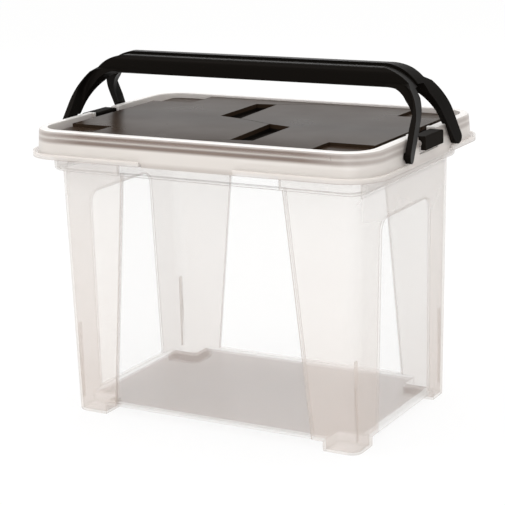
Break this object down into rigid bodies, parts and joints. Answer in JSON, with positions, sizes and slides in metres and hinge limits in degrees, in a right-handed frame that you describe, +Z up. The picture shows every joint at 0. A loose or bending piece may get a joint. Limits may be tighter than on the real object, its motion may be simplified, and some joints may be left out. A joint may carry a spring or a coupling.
{
  "type": "portable file box",
  "caption": "Portable file box: clear plastic tub with feet and folder rails, lift-off lid frame, two interlocking flip-up lid wings and a pair of fold-down carry handles.",
  "frame": {"origin": "centre of the base, on the plane the four feet stand on", "axes": "+X along the long side, towards the right wing's hinge; +Y to the back; +Z up"},
  "size_m": [0.3748, 0.2596, 0.3412],
  "materials": {
    "tub": "clear frosted",
    "lid_frame": "translucent white",
    "wing": "black, satin",
    "handle": "black, satin"
  },
  "bodies": {
    "tub": {"tub": "tub"},
    "lid": {"lid_frame": "lid_frame"},
    "wing_left": {"wing_left": "wing"},
    "wing_right": {"wing_right": "wing"},
    "handle_front": {"handle_front": "handle"},
    "handle_rear": {"handle_rear": "handle"}
  },
  "joints": [
    {"name": "lid_lift", "type": "slide", "parent": "tub", "child": "lid", "axis": [0, 0, 1], "range_m": [0, 0.06]},
    {"name": "wing_left_hinge", "type": "hinge", "parent": "lid", "child": "wing_left", "pos_m": [-0.178, 0, 0.274], "axis": [0, -1, 0], "range_deg": [0, 11.5]},
    {"name": "wing_right_hinge", "type": "hinge", "parent": "lid", "child": "wing_right", "pos_m": [0.178, 0, 0.274], "axis": [0, 1, 0], "range_deg": [0, 11.5]},
    {"name": "handle_front_fold", "type": "hinge", "parent": "lid", "child": "handle_front", "pos_m": [0, -0.052, 0.2677], "axis": [1, 0, 0], "range_deg": [0, 108.2]},
    {"name": "handle_rear_fold", "type": "hinge", "parent": "lid", "child": "handle_rear", "pos_m": [0, 0.052, 0.2677], "axis": [-1, 0, 0], "range_deg": [0, 105.6]}
  ]
}
